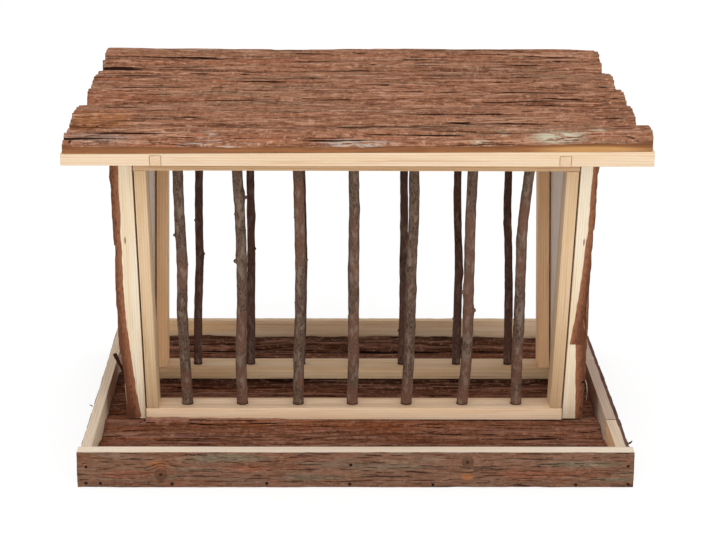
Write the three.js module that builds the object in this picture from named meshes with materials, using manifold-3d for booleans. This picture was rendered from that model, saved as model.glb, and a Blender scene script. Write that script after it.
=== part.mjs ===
// Bird table: a shallow bark tray, a V-shaped rack of crooked sticks standing in it between two
// bark side panels, and a flat bark roof that lifts off. Lengths are in millimetres. X runs along
// the front, Y from front to back and Z up. The origin is the middle of the tray's underside.
import * as THREE from "three";
import { mergeVertices } from "three/addons/utils/BufferGeometryUtils.js";
import Module from "manifold-3d";

const wasm = await Module();
wasm.setup();

// Overall sizes
const trayWidth = 460;
const trayDepth = 360;
const rimHeight = 31;
const rackHeight = 273;
const rackInset = 47.2;
const rackFootDepth = 133;
const rackSetback = 7.5;
const rackTopGap = 24.75801;
const roofOverhangSide = 3.5;
const roofOverhangFront = 6.5;

// Clearances: between pieces that bear on each other, between a stick frame and the side panel
// beside it, between a cross strip and its notch, and how far a cutter runs past what it cuts
const seatGap = 0.3;
const panelGap = 0.8;
const notchGap = 0.3;
const cutterOverrun = 20;

// Tray rim: sawn boards with bark left on their outer faces
const frontBoardThickness = 15;
const backBoardThickness = 10.5;
const leftBoardThickness = 11;
const rightBoardThickness = 14;
const boardBark = 2.2;
const rightBoardButtShare = 0.19;

// Tray floor: half-round slats laid bark up, listed from front to back
const floorThickness = 14.3;
const floorSlatEdge = 9;
const floorSlatWidthShares = [0.218, 0.176, 0.176, 0.168, 0.164, 0.098];

// Rack frames: one strip stock, laid flat as rails and stood on edge as stiles
const stripThickness = 10.6;
const stripWidth = 27;
const topRailDrop = 31;
const stickCount = 7;
const stickEndGapShare = 0.557;
const socketDepth = 6;

// Sticks: diameter of each row and how far a row stands off the middle of its rails
const frontStickDiameter = 9.8;
const backStickDiameter = 8;
const frontRowShift = -1.8;
const backRowShift = 0.4;
const stickTopShare = 0.9;
const stickSides = 8;
const stickSteps = 10;

// Bends of each stick, left to right, as shares of its diameter at even heights from the bottom
// socket to the top one, and its knots: height share, side (1 is towards +X) and swell share
const frontStickShares = [
  { bends: [-0.02, -0.08, -0.16, 0.02, -0.03, -0.03], knots: [[0.6, 1, 0.14], [0.73, -1, 0.2]] },
  { bends: [-0.02, -0.07, 0.15, 0.22, 0.18, 0.02], knots: [[0.63, -1, 0.16], [0.88, 1, 0.24]] },
  { bends: [0.07, 0.15, 0.3, 0.35, 0.28, 0.24], knots: [[0.62, 1, 0.2]] },
  { bends: [0.01, 0.08, 0.06, 0.04, 0.02, -0.04], knots: [[0.84, 1, 0.22], [0.3, -1, 0.1]] },
  { bends: [-0.06, 0.08, 0.11, 0.09, 0.2, 0.09], knots: [[0.5, 1, 0.14], [0.69, -1, 0.18]] },
  { bends: [0.03, 0.3, 0.24, 0.16, 0.08, 0.1], knots: [[0.4, 1, 0.16], [0.5, -1, 0.18]] },
  { bends: [-0.02, -0.17, -0.22, -0.33, -0.36, -0.03], knots: [[0.34, 1, 0.12], [0.7, -1, 0.2]] },
];
const backStickShares = [
  { bends: [0.05, 0.04, 0.22, 0.1, 0.18, 0.1], knots: [[0.42, 1, 0.2]] },
  { bends: [0.15, 0.17, 0.18, 0.12, 0.03, 0.02], knots: [[0.57, 1, 0.22]] },
  { bends: [-0.04, 0.1, 0.2, 0.08, -0.06, 0.02], knots: [[0.35, -1, 0.18]] },
  { bends: [0.02, -0.12, -0.18, 0.04, 0.12, 0.05], knots: [[0.7, 1, 0.18]] },
  { bends: [-0.4, -0.2, -0.2, -0.14, -0.19, -0.1], knots: [[0.31, 1, 0.16]] },
  { bends: [-0.1, 0.06, 0.2, 0.02, 0.06, 0.02], knots: [[0.35, 1, 0.24]] },
  { bends: [-0.14, -0.03, -0.04, -0.18, -0.02, 0.02], knots: [[0.55, -1, 0.16]] },
];

// Side panels: upright half-round slabs, bark out, listed as shares of the panel's top, front first.
// The saw takes that much or more off the outer slabs, so that their cut edges are thick.
const sideSlabThickness = 17.5;
const sideSlabEdge = 14.5;
const sideSawMargin = 10;
const leftSlabWidthShares = [0.255, 0.23, 0.24, 0.275];
const rightSlabWidthShares = [0.192, 0.28, 0.253, 0.275];
const cleatWidth = 8;
const cleatHeight = 10.4;
const cleatReachShare = 0.82;

// Roof: half-round planks on two battens and two cross strips, planks listed from front to back.
// Each cross strip's middle lies that far inside the line of the stick frames' ends.
const roofPlankThickness = 15;
const roofPlankEdge = 8;
const roofPlankWidthShares = [0.124, 0.21, 0.183, 0.193, 0.142, 0.148];
const roofEndWander = 8;
const roofLeftEndShares = [0, 0.2, 0.75, 0.35, 0.6, 0.15];
const roofRightEndShares = [0, 0.7, 0.4, 0.5, 0.8, 0.2];
const roofEndRound = 1.5;
const battenHeight = 12.2;
const battenDepth = 20;
const crossStripWidth = 8.8;
const crossStripEndHeight = 8;
const leftCrossStripInset = 23.7;
const rightCrossStripInset = 19.3;

// Bark: how many steps a slab has along and across, how square its crown is, how deep the crown
// dips, the waves along a slab, and how far they move on from lane to lane and slab to slab. Each
// group of slabs has a seed, so that no two slabs are alike.
const slabSteps = 10;
const crownSteps = 8;
const crownPower = 2.6;
const slabDipShare = 0.3;
const boardDipShare = 0.7;
const barkWaveShares = [1.3, 2.1, 3.4];
const laneTurn = 2.4;
const seedTurn = 1.7;
const barkSeeds = { rim: 1, floor: 10, left: 20, right: 30, roof: 40 };

// Places worked out from the sizes above
const rackWidth = trayWidth - 2 * rackInset;
const frameLine = rackWidth / 2;
const clearWidth = rackWidth - 2 * stripThickness;
const stickPitch = clearWidth / (stickCount - 1 + 2 * stickEndGapShare);
const panelLine = frameLine + panelGap;
const standLevel = floorThickness + seatGap;
const railTopLevel = standLevel + stripThickness;
const panelTopLevel = standLevel + rackHeight;
const topRailLevel = panelTopLevel - topRailDrop;
const roofLevel = panelTopLevel + seatGap;
const roofWidth = trayWidth + 2 * roofOverhangSide;
const roofDepth = trayDepth + 2 * roofOverhangFront;

// The stick frames lean out from the tray's floor until the panels' top corners stand off the
// roof's battens by the gap asked for, less the setback at the back and more by it at the front
const rackTopReach = roofDepth / 2 - battenDepth - rackTopGap;
const spread = (rackTopReach - rackFootDepth / 2) / (panelTopLevel - railTopLevel);
const rackLean = Math.atan(spread);

// Distance of a frame's outer face from the rack's middle, at a height
function faceReach(level) {
  return rackFootDepth / 2 + (level - railTopLevel) * spread;
}

// Materials: sawn pine, bark and the sticks' thin rind
function pine() {
  return new THREE.MeshStandardMaterial({ color: 0xdcbd8c, roughness: 0.7, metalness: 0 });
}

function bark() {
  return new THREE.MeshStandardMaterial({ color: 0x7a5343, roughness: 0.95, metalness: 0 });
}

function rind() {
  return new THREE.MeshStandardMaterial({ color: 0x5d4d42, roughness: 0.9, metalness: 0 });
}

// One named piece of the object
function piece(name, geometry, material) {
  const mesh = new THREE.Mesh(geometry, material);
  mesh.name = name;
  return mesh;
}

// Closed body through a row of rings, each with the same number of points, capped at both ends
function loft(rings) {
  const count = rings[0].length;
  const points = rings.flat();
  const index = [];
  for (let i = 0; i + 1 < rings.length; i++) {
    for (let j = 0; j < count; j++) {
      const next = (j + 1) % count;
      const near = i * count;
      const far = near + count;
      index.push(near + j, near + next, far + next, near + j, far + next, far + j);
    }
  }
  const capEnd = (ring, start, turned) => {
    const centre = new THREE.Vector3();
    ring.forEach((point) => centre.add(point));
    points.push(centre.divideScalar(count));
    for (let j = 0; j < count; j++) {
      const here = start + j;
      const next = start + (j + 1) % count;
      index.push(points.length - 1, turned ? next : here, turned ? here : next);
    }
  };
  capEnd(rings[0], 0, true);
  capEnd(rings[rings.length - 1], (rings.length - 1) * count, false);
  const geometry = new THREE.BufferGeometry().setFromPoints(points);
  geometry.setIndex(index);
  geometry.computeVertexNormals();
  return geometry;
}

// Dip of the bark between 0 and 1 at a place along and across a slab; each seed has its own
function barkDip(along, lane, seed) {
  let sum = 0;
  barkWaveShares.forEach((waves, k) => {
    const start = (lane + 1) * (k + 1) * laneTurn + seed * (k + 2) * seedTurn;
    sum += Math.sin(2 * Math.PI * waves * along + start);
  });
  return 0.5 + sum / (2 * barkWaveShares.length);
}

// Slab sawn off a log: flat sawn back at z = 0, straight edges, bark crown on top. It runs along X
// and lies across Y. The bark only dips under the crown line, so the slab keeps its thickness.
function logSlab({ length, width, edge, thickness, seed, dipShare = slabDipShare, endRound = 0 }) {
  const rings = [];
  for (let i = 0; i <= slabSteps; i++) {
    const along = i / slabSteps;
    const at = (across) => {
      const rounding = endRound * (2 * across / width - 1) ** 2;
      return THREE.MathUtils.lerp(rounding, length - rounding, along);
    };
    const ring = [new THREE.Vector3(at(0), 0, 0), new THREE.Vector3(at(width), width, 0)];
    for (let j = crownSteps; j >= 0; j--) {
      const across = width * j / crownSteps;
      const bulge = 1 - Math.abs(2 * j / crownSteps - 1) ** crownPower;
      const rise = (thickness - edge) * bulge * (1 - dipShare * barkDip(along, j, seed));
      ring.push(new THREE.Vector3(at(across), across, edge + rise));
    }
    rings.push(ring);
  }
  return loft(rings);
}

// Solid for cutting, from a closed geometry placed where its mesh will stand
function asSolid(geometry) {
  const plain = geometry.clone();
  plain.deleteAttribute("normal");
  plain.deleteAttribute("uv");
  const merged = mergeVertices(plain);
  const vertProperties = new Float32Array(merged.attributes.position.array);
  const triVerts = new Uint32Array(merged.index.array);
  return new wasm.Manifold(new wasm.Mesh({ numProp: 3, vertProperties, triVerts }));
}

// Geometry left when the cutters are taken out of a body
function cut(body, cutters) {
  let solid = asSolid(body);
  cutters.forEach((cutter) => {
    solid = solid.subtract(asSolid(cutter));
  });
  const { vertProperties, triVerts } = solid.getMesh();
  const geometry = new THREE.BufferGeometry();
  geometry.setAttribute("position", new THREE.BufferAttribute(vertProperties, 3));
  geometry.setIndex(new THREE.BufferAttribute(triVerts, 1));
  geometry.computeVertexNormals();
  return geometry;
}

// Prism from an outline of [y, z] corners in a side view, running along X from 0
function sidePrism(outline, length) {
  const shape = new THREE.Shape(outline.map(([y, z]) => new THREE.Vector2(y, z)));
  const geometry = new THREE.ExtrudeGeometry(shape, { depth: length, bevelEnabled: false });
  const turn = new THREE.Matrix4().makeBasis(
    new THREE.Vector3(0, 1, 0),
    new THREE.Vector3(0, 0, 1),
    new THREE.Vector3(1, 0, 0),
  );
  return geometry.applyMatrix4(turn);
}

// Starts and widths of pieces that share a span side by side, with a gap between neighbours
function sideBySide(span, shares, gap) {
  const total = shares.reduce((sum, share) => sum + share, 0);
  let start = 0;
  return shares.map((share) => {
    const slot = span * share / total;
    const place = { start: start + gap / 2, width: slot - gap };
    start += slot;
    return place;
  });
}

// Tray rim. The front and back boards run full width and the side boards stand between them.
function trayRim() {
  const rim = new THREE.Group();
  const board = (name, length, thickness, i) => {
    const sizes = { length, width: rimHeight, edge: thickness - boardBark, thickness };
    const seed = barkSeeds.rim + i;
    return piece(name, logSlab({ ...sizes, seed, dipShare: boardDipShare }), bark());
  };

  const front = board("tray_front_board", trayWidth, frontBoardThickness, 0);
  front.rotation.x = Math.PI / 2;
  front.position.set(-trayWidth / 2, frontBoardThickness - trayDepth / 2, 0);

  const back = board("tray_back_board", trayWidth, backBoardThickness, 1);
  back.rotation.set(Math.PI / 2, 0, Math.PI, "ZYX");
  back.position.set(trayWidth / 2, trayDepth / 2 - backBoardThickness, 0);

  const innerFront = frontBoardThickness - trayDepth / 2 + seatGap;
  const innerDepth = trayDepth - frontBoardThickness - backBoardThickness - 2 * seatGap;
  const left = board("tray_left_board", innerDepth, leftBoardThickness, 2);
  left.rotation.set(Math.PI / 2, 0, -Math.PI / 2, "ZYX");
  left.position.set(leftBoardThickness - trayWidth / 2, innerFront + innerDepth, 0);

  const [frontLength, rearLength] = sideBySide(
    innerDepth, [rightBoardButtShare, 1 - rightBoardButtShare], seatGap);
  const rightFront = board("tray_right_board_front", frontLength.width, rightBoardThickness, 3);
  const rightRear = board("tray_right_board_rear", rearLength.width, rightBoardThickness, 4);
  [[rightFront, frontLength], [rightRear, rearLength]].forEach(([mesh, place]) => {
    mesh.rotation.set(Math.PI / 2, 0, Math.PI / 2, "ZYX");
    mesh.position.set(trayWidth / 2 - rightBoardThickness, innerFront + place.start, 0);
  });

  rim.add(front, back, left, rightFront, rightRear);
  return rim;
}

// Tray floor: slats that run along the tray and fill it from board to board
function trayFloor() {
  const floor = new THREE.Group();
  const start = frontBoardThickness - trayDepth / 2 + seatGap / 2;
  const span = trayDepth - frontBoardThickness - backBoardThickness - seatGap;
  const length = trayWidth - leftBoardThickness - rightBoardThickness - 2 * seatGap;
  sideBySide(span, floorSlatWidthShares, seatGap).forEach((place, i) => {
    const sizes = { length, width: place.width, edge: floorSlatEdge, thickness: floorThickness };
    const seed = barkSeeds.floor + i;
    const slat = piece(`floor_slat_${i + 1}`, logSlab({ ...sizes, seed }), bark());
    slat.position.set(leftBoardThickness + seatGap - trayWidth / 2, start + place.start, 0);
    floor.add(slat);
  });
  return floor;
}

// Place of a stick in its row, counted from the left, at the bottom or the top socket
function stickPlace(row, i, end) {
  const bends = row.shares[i].bends;
  const bend = bends[end === "top" ? bends.length - 1 : 0] * row.diameter;
  return row.shift + (i - (stickCount - 1) / 2) * stickPitch + bend;
}

// Rail laid flat, with a leaning blind socket for each stick in the face given by its height.
// The rail is made about its own middle; away is -1 for the front frame and 1 for the back one.
function rail(name, row, away, end) {
  const body = new THREE.BoxGeometry(rackWidth, stripWidth, stripThickness);
  const share = end === "top" ? stickTopShare : 1;
  const radius = row.diameter / 2 * share + seatGap;
  const inward = end === "top" ? 1 : -1;
  const sockets = row.shares.map((_, i) => {
    const length = socketDepth + cutterOverrun;
    const hole = new THREE.CylinderGeometry(radius, radius, length, stickSides + 2);
    hole.rotateX(Math.PI / 2);
    hole.translate(0, 0, inward * (length / 2 - cutterOverrun));
    hole.rotateX(-away * rackLean);
    return hole.translate(stickPlace(row, i, end), 0, -inward * stripThickness / 2);
  });
  return piece(name, cut(body, sockets), pine());
}

// Stile: a strip that leans with the frame, sawn level at both ends to stand between the rails
function stile(name, away) {
  const low = railTopLevel + seatGap;
  const high = topRailLevel - seatGap;
  const outline = [
    [away * faceReach(low), low],
    [away * (faceReach(low) - stripWidth), low],
    [away * (faceReach(high) - stripWidth), high],
    [away * faceReach(high), high],
  ];
  return piece(name, sidePrism(outline, stripThickness), pine());
}

// Crooked, tapering stick along Z from inside the bottom socket to inside the top one. Its bends
// are shares of its diameter, its ends run straight in the sockets, and knots swell one side.
function stick(name, row, i, away, span) {
  const { bends, knots } = row.shares[i];
  const radius = row.diameter / 2;
  const inSocket = socketDepth - seatGap;
  const points = [];
  const addPoint = (bend, depthBend, height) => {
    points.push(new THREE.Vector3(bend * row.diameter, depthBend * row.diameter, height));
  };
  addPoint(bends[0], 0, -inSocket);
  addPoint(bends[0], 0, 0);
  addPoint(bends[0], 0, socketDepth / 2);
  bends.slice(1, -1).forEach((bend, k) => {
    const depthBend = bends[(k + 2) % bends.length] - bends[0];
    addPoint(bend, depthBend / 2, span * (k + 1) / (bends.length - 1));
  });
  const last = bends[bends.length - 1];
  addPoint(last, 0, span - socketDepth / 2);
  addPoint(last, 0, span);
  addPoint(last, 0, span + inSocket);
  const spine = new THREE.CatmullRomCurve3(points);
  const fine = spine.getPoints(points.length * stickSteps);
  const centreAt = (height) => {
    const above = fine.findIndex((point) => point.z >= height);
    const k = above < 0 ? fine.length - 1 : Math.max(1, above);
    const share = (height - fine[k - 1].z) / (fine[k].z - fine[k - 1].z);
    return fine[k - 1].clone().lerp(fine[k], share);
  };

  const heights = [-inSocket, 0, span, span + inSocket];
  for (let k = 1; k < stickSteps; k++) {
    heights.push(span * k / stickSteps);
  }
  knots.forEach(([share]) => {
    heights.push(span * share - row.diameter, span * share, span * share + row.diameter);
  });
  heights.sort((a, b) => a - b);
  const kept = heights.filter((height, k) => k === 0 || height - heights[k - 1] > seatGap);

  const rings = kept.map((height) => {
    const centre = centreAt(height);
    const taper = THREE.MathUtils.clamp(height / span, 0, 1);
    const ring = [];
    for (let j = 0; j < stickSides; j++) {
      const angle = 2 * Math.PI * j / stickSides;
      let swell = 0;
      knots.forEach(([share, side, size]) => {
        const near = Math.abs(height - span * share) < row.diameter / 2;
        swell += near ? size * Math.max(0, side * Math.cos(angle)) : 0;
      });
      const reach = radius * (THREE.MathUtils.lerp(1, stickTopShare, taper) + swell);
      const offset = new THREE.Vector3(Math.cos(angle), Math.sin(angle), 0).multiplyScalar(reach);
      ring.push(offset.add(new THREE.Vector3(centre.x, centre.y, height)));
    }
    return ring;
  });
  const mesh = piece(name, loft(rings), rind());
  mesh.rotation.x = -away * rackLean;
  return mesh;
}

// One stick frame: two rails, two stiles and a row of sticks, leaning outwards as it rises
function rackFrame(side, away, row) {
  const frame = new THREE.Group();
  frame.position.y = rackSetback;
  const footMiddle = away * (rackFootDepth / 2 - stripWidth / 2);
  const topMiddle = away * (faceReach(topRailLevel) - stripWidth / 2);

  const bottomRail = rail(`${side}_bottom_rail`, row, away, "bottom");
  bottomRail.position.set(0, footMiddle, standLevel + stripThickness / 2);
  const topRail = rail(`${side}_top_rail`, row, away, "top");
  topRail.position.set(0, topMiddle, topRailLevel + stripThickness / 2);

  const leftStile = stile(`${side}_left_stile`, away);
  leftStile.position.x = -frameLine;
  const rightStile = stile(`${side}_right_stile`, away);
  rightStile.position.x = frameLine - stripThickness;

  frame.add(bottomRail, topRail, leftStile, rightStile);
  const span = (topRailLevel - railTopLevel) / Math.cos(rackLean);
  for (let i = 0; i < stickCount; i++) {
    const mesh = stick(`${side}_stick_${i + 1}`, row, i, away, span);
    const middle = row.shift + (i - (stickCount - 1) / 2) * stickPitch;
    mesh.position.set(middle, footMiddle, railTopLevel);
    frame.add(mesh);
  }
  return frame;
}

// Side panel: upright slabs whose outer edges are sawn along the lean of the two stick frames.
// In the panel's own frame the grain runs along X, which stands up, and Y crosses the panel.
function sidePanel(side, widthShares) {
  const panel = new THREE.Group();
  const away = side === "left" ? -1 : 1;
  const reach = faceReach(panelTopLevel);
  const foot = rackFootDepth / 2;
  const kneeHeight = railTopLevel - standLevel;
  const cutters = [-1, 1].map((edge) => {
    const cutter = new THREE.BoxGeometry(3 * rackHeight, 2 * reach, 2 * cutterOverrun + rackInset);
    cutter.translate(0, edge * reach, 0);
    cutter.rotateZ(edge * rackLean);
    return cutter.translate(kneeHeight, edge * foot + reach, 0);
  });

  sideBySide(2 * reach, widthShares, seatGap).forEach((place, i) => {
    const seed = barkSeeds[side] + i;
    const start = place.start - (i === 0 ? sideSawMargin : 0);
    const outer = i === 0 || i === widthShares.length - 1;
    const width = place.width + (outer ? sideSawMargin : 0);
    const sizes = { width, edge: sideSlabEdge, thickness: sideSlabThickness, seed };
    const blank = logSlab({ length: rackHeight, ...sizes });
    blank.translate(0, away < 0 ? start : 2 * reach - start - width, 0);
    panel.add(piece(`side_slab_${side}_${i + 1}`, cut(blank, cutters), bark()));
  });
  const up = new THREE.Vector3(0, 0, 1);
  const across = new THREE.Vector3(0, -away, 0);
  const outward = new THREE.Vector3(away, 0, 0);
  panel.quaternion.setFromRotationMatrix(new THREE.Matrix4().makeBasis(up, across, outward));
  panel.position.set(away * panelLine, rackSetback + away * reach, standLevel);
  return panel;
}

// Cleats inside the panels, just under the roof, that tie the slabs of each side
function cleats() {
  const group = new THREE.Group();
  const length = 2 * faceReach(panelTopLevel) * cleatReachShare;
  [["left", -1], ["right", 1]].forEach(([side, away]) => {
    const bar = new THREE.BoxGeometry(cleatWidth, length, cleatHeight);
    const cleat = piece(`cleat_${side}_top`, bar, pine());
    const middle = away * (panelLine - seatGap - cleatWidth / 2);
    cleat.position.set(middle, rackSetback, panelTopLevel - cleatHeight / 2);
    group.add(cleat);
  });
  return group;
}

// Roof: planks laid side by side along X, battens under the front and back edges, and two cross
// strips that tie the planks. The strips' ends are stepped to lie in notches in the battens.
function roofLid() {
  const roof = new THREE.Group();
  const underside = roofLevel - battenHeight;
  sideBySide(roofDepth, roofPlankWidthShares, seatGap).forEach((place, i) => {
    const leftInset = roofEndWander * roofLeftEndShares[i];
    const rightInset = roofEndWander * roofRightEndShares[i];
    const plank = logSlab({
      length: roofWidth - leftInset - rightInset,
      width: place.width,
      edge: roofPlankEdge,
      thickness: roofPlankThickness,
      seed: barkSeeds.roof + i,
      endRound: roofEndRound,
    });
    const mesh = piece(`roof_plank_${i + 1}`, plank, bark());
    mesh.position.set(leftInset - roofWidth / 2, place.start - roofDepth / 2, roofLevel + seatGap);
    roof.add(mesh);
  });

  const stripMiddles = [leftCrossStripInset - frameLine, frameLine - rightCrossStripInset];
  const notchHalf = crossStripWidth / 2 + notchGap;
  const notchTop = crossStripEndHeight + notchGap;
  const outline = [[-roofWidth / 2, battenHeight], [-roofWidth / 2, 0]];
  stripMiddles.forEach((middle) => {
    outline.push([middle - notchHalf, 0], [middle - notchHalf, notchTop]);
    outline.push([middle + notchHalf, notchTop], [middle + notchHalf, 0]);
  });
  outline.push([roofWidth / 2, 0], [roofWidth / 2, battenHeight]);
  const face = new THREE.Shape(outline.map(([x, z]) => new THREE.Vector2(x, z)));
  [["front", battenDepth - roofDepth / 2], ["back", roofDepth / 2]].forEach(([side, inner]) => {
    const batten = new THREE.ExtrudeGeometry(face, { depth: battenDepth, bevelEnabled: false });
    const mesh = piece(`roof_batten_${side}`, batten.rotateX(Math.PI / 2), pine());
    mesh.position.set(0, inner, underside);
    roof.add(mesh);
  });

  const end = roofDepth / 2;
  const shoulder = end - battenDepth - seatGap;
  const stripOutline = [
    [-end, 0],
    [end, 0],
    [end, crossStripEndHeight],
    [shoulder, crossStripEndHeight],
    [shoulder, battenHeight],
    [-shoulder, battenHeight],
    [-shoulder, crossStripEndHeight],
    [-end, crossStripEndHeight],
  ];
  stripMiddles.forEach((middle, i) => {
    const name = `roof_cross_strip_${i === 0 ? "left" : "right"}`;
    const mesh = piece(name, sidePrism(stripOutline, crossStripWidth), pine());
    mesh.position.set(middle - crossStripWidth / 2, 0, underside);
    roof.add(mesh);
  });
  return roof;
}

const birdTable = new THREE.Group();
const frontRow = { shares: frontStickShares, diameter: frontStickDiameter, shift: frontRowShift };
const backRow = { shares: backStickShares, diameter: backStickDiameter, shift: backRowShift };
birdTable.add(trayRim(), trayFloor());
birdTable.add(rackFrame("front", -1, frontRow), rackFrame("back", 1, backRow));
birdTable.add(sidePanel("left", leftSlabWidthShares), sidePanel("right", rightSlabWidthShares));
birdTable.add(cleats(), roofLid());

export default birdTable;
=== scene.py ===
"""Bird table: bark slabs, sawn pine, crooked sticks and nails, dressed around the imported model."""
import math

import bpy
import numpy as np
from mathutils import Matrix, Vector


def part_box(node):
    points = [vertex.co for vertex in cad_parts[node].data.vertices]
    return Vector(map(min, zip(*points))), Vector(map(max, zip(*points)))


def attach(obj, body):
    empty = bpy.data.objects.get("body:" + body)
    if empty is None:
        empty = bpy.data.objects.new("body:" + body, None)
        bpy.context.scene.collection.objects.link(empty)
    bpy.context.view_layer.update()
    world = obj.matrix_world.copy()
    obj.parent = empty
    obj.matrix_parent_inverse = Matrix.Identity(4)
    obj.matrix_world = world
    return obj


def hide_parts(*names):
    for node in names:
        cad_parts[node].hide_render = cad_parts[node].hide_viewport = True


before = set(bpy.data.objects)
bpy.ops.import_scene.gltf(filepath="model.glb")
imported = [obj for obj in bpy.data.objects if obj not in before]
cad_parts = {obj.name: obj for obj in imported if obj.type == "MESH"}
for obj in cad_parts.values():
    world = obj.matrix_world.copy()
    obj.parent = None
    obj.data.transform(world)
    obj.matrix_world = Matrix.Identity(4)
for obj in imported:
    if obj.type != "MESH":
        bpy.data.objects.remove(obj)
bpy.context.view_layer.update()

MM = 0.001

ALONG = Vector((1, 0, 0))
BACKWARD = Vector((0, 1, 0))
UP = Vector((0, 0, 1))

foot_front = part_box("front_bottom_rail")
foot_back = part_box("back_bottom_rail")
head_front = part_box("front_top_rail")
frame_line = foot_front[1].x
rail_top = foot_front[1].z
rack_lean = math.atan2(foot_front[0].y - head_front[0].y, head_front[0].z - rail_top)


def paint(red, green, blue):
    """Colour as a screen shows it, 0 to 255, turned into the shader's linear values."""
    linear = []
    for level in (red, green, blue):
        share = level / 255
        linear.append(share / 12.92 if share <= 0.04045 else ((share + 0.055) / 1.055) ** 2.4)
    return (*linear, 1.0)


def paints(tones):
    return [paint(*tone) for tone in tones]


def set_all(thing, settings):
    for key, value in settings.items():
        setattr(thing, key, value)


def set_stops(ramp, stops):
    """Gives a colour ramp its stops, each a place and a level of grey."""
    while len(ramp.elements) < len(stops):
        ramp.elements.new(1)
    for element, (place, level) in zip(ramp.elements, stops):
        element.position = place
        element.color = (level, level, level, 1)


class Wire:
    """A value that flows between shader nodes. Sums, products and so on add Math nodes."""

    def __init__(self, finish, socket):
        self.finish = finish
        self.socket = socket

    def __add__(self, other):
        return self.finish.maths("ADD", self, other)

    def __radd__(self, other):
        return self.finish.maths("ADD", other, self)

    def __sub__(self, other):
        return self.finish.maths("SUBTRACT", self, other)

    def __rsub__(self, other):
        return self.finish.maths("SUBTRACT", other, self)

    def __mul__(self, other):
        return self.finish.maths("MULTIPLY", self, other)

    def __rmul__(self, other):
        return self.finish.maths("MULTIPLY", other, self)

    def __truediv__(self, other):
        return self.finish.maths("DIVIDE", self, other)

    def __abs__(self):
        return self.finish.maths("ABSOLUTE", self)


class Finish:
    """The shader nodes of a material or of the world, written as sums and mixes."""

    def __init__(self, owner):
        owner.use_nodes = True
        self.owner = owner
        self.tree = owner.node_tree
        self.tree.nodes.clear()

    def node(self, kind, settings, sockets, output=0):
        made = self.tree.nodes.new("ShaderNode" + kind)
        set_all(made, settings)
        for key, value in sockets.items():
            if isinstance(value, Wire):
                self.tree.links.new(value.socket, made.inputs[key])
            else:
                made.inputs[key].default_value = value
        return Wire(self, made.outputs[output])

    def maths(self, operation, *inputs):
        return self.node("Math", {"operation": operation}, dict(enumerate(inputs)))

    def vector_maths(self, operation, *inputs, output=0):
        return self.node("VectorMath", {"operation": operation}, dict(enumerate(inputs)), output)

    def place(self):
        return self.node("TexCoord", {}, {}, "Object")

    def stored(self, name):
        """Value that the piece's mesh keeps at each of its points."""
        return self.node("Attribute", {"attribute_name": name}, {}, "Fac")

    def parts(self, vector):
        split = self.node("SeparateXYZ", {}, {0: vector}).socket.node
        return [Wire(self, split.outputs[k]) for k in range(3)]

    def scaled(self, vector, size, shift):
        """Coordinates in which a blotch of the given size, in metres, is about 1 long."""
        scale = [1 / reach for reach in size]
        return self.node("Mapping", {}, {"Vector": vector, "Location": [shift] * 3, "Scale": scale})

    def noise(self, vector, size, detail=2, roughness=0.5, shift=0.0, output="Fac"):
        """Noise whose blotches are about size long, in metres along X, Y and Z."""
        sockets = {"Scale": 1.0, "Detail": detail, "Roughness": roughness}
        return self.node(
            "TexNoise", {}, {"Vector": self.scaled(vector, size, shift), **sockets}, output)

    def chips(self, vector, size, shift=0.0):
        """Chips about size long: a level of each chip's own, and the distance to its rim."""
        sockets = {"Vector": self.scaled(vector, size, shift), "Scale": 1.0}
        tone = self.node("TexVoronoi", {"feature": "F1"}, sockets, "Color")
        rim = self.node("TexVoronoi", {"feature": "DISTANCE_TO_EDGE"}, sockets, "Distance")
        return self.parts(tone)[0], rim

    def sway(self, vector, size, reach):
        """Coordinates pushed about by soft noise, so that the grain wanders by about reach."""
        push = self.noise(vector, size, 2, 0.5, 3.7, "Color")
        centred = self.vector_maths("SUBTRACT", push, [0.5] * 3)
        return self.vector_maths("MULTIPLY_ADD", centred, [reach] * 3, vector)

    def step(self, value, low, high):
        """0 below low, 1 above high and a soft step between."""
        return self.node("MapRange", {"interpolation_type": "SMOOTHSTEP"}, {0: value, 1: low, 2: high})

    def mix(self, factor, first, second):
        return self.node("Mix", {"data_type": "RGBA"}, {0: factor, 6: first, 7: second}, 2)

    def over(self, colour, tone, value, low, high, strength):
        """Lays a tone on a colour where value is above the step from low to high."""
        return self.mix(self.step(value, low, high) * strength, colour, tone)

    def under(self, colour, tone, value, low, high, strength):
        """Lays a tone on a colour where value is below the step from low to high."""
        return self.mix((1 - self.step(value, low, high)) * strength, colour, tone)

    def distance(self, vector, centre, reach):
        """Distance from centre, 1 at reach from it along X, Y and Z, both given in millimetres."""
        offset = self.vector_maths("SUBTRACT", vector, [place * MM for place in centre])
        scaled = self.vector_maths("MULTIPLY", offset, [1 / (length * MM) for length in reach])
        return self.vector_maths("LENGTH", scaled, output="Value")

    def round_knot(self, vector, centre, reach):
        """Coordinates drawn in towards centre, so that the grain flows round a knot there."""
        near = 1 - self.step(self.distance(vector, centre, [reach] * 3), 0.0, 1.0)
        offset = self.vector_maths("SUBTRACT", [place * MM for place in centre], vector)
        drawn = self.node("VectorMath", {"operation": "SCALE"}, {0: offset, "Scale": near * 0.8})
        return self.vector_maths("ADD", vector, drawn)

    def surface(self, colour, roughness, height, depth, **steady):
        """Closes a material: colour, roughness and a bump of the given depth in metres."""
        bump = self.node("Bump", {}, {"Height": height, "Distance": depth})
        sockets = {"Base Color": colour, "Roughness": roughness, "Normal": bump}
        self.output("Material", self.node("BsdfPrincipled", {}, {**sockets, **steady}, "BSDF"))
        return self.owner

    def output(self, kind, shader):
        out = self.tree.nodes.new("ShaderNodeOutput" + kind)
        self.tree.links.new(shader.socket, out.inputs["Surface"])


# Bark and dry wood shine far less than the shader does when left alone
DULL = {"Specular IOR Level": 0.03}


def new_finish(name):
    return Finish(bpy.data.materials.new(name))


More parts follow.
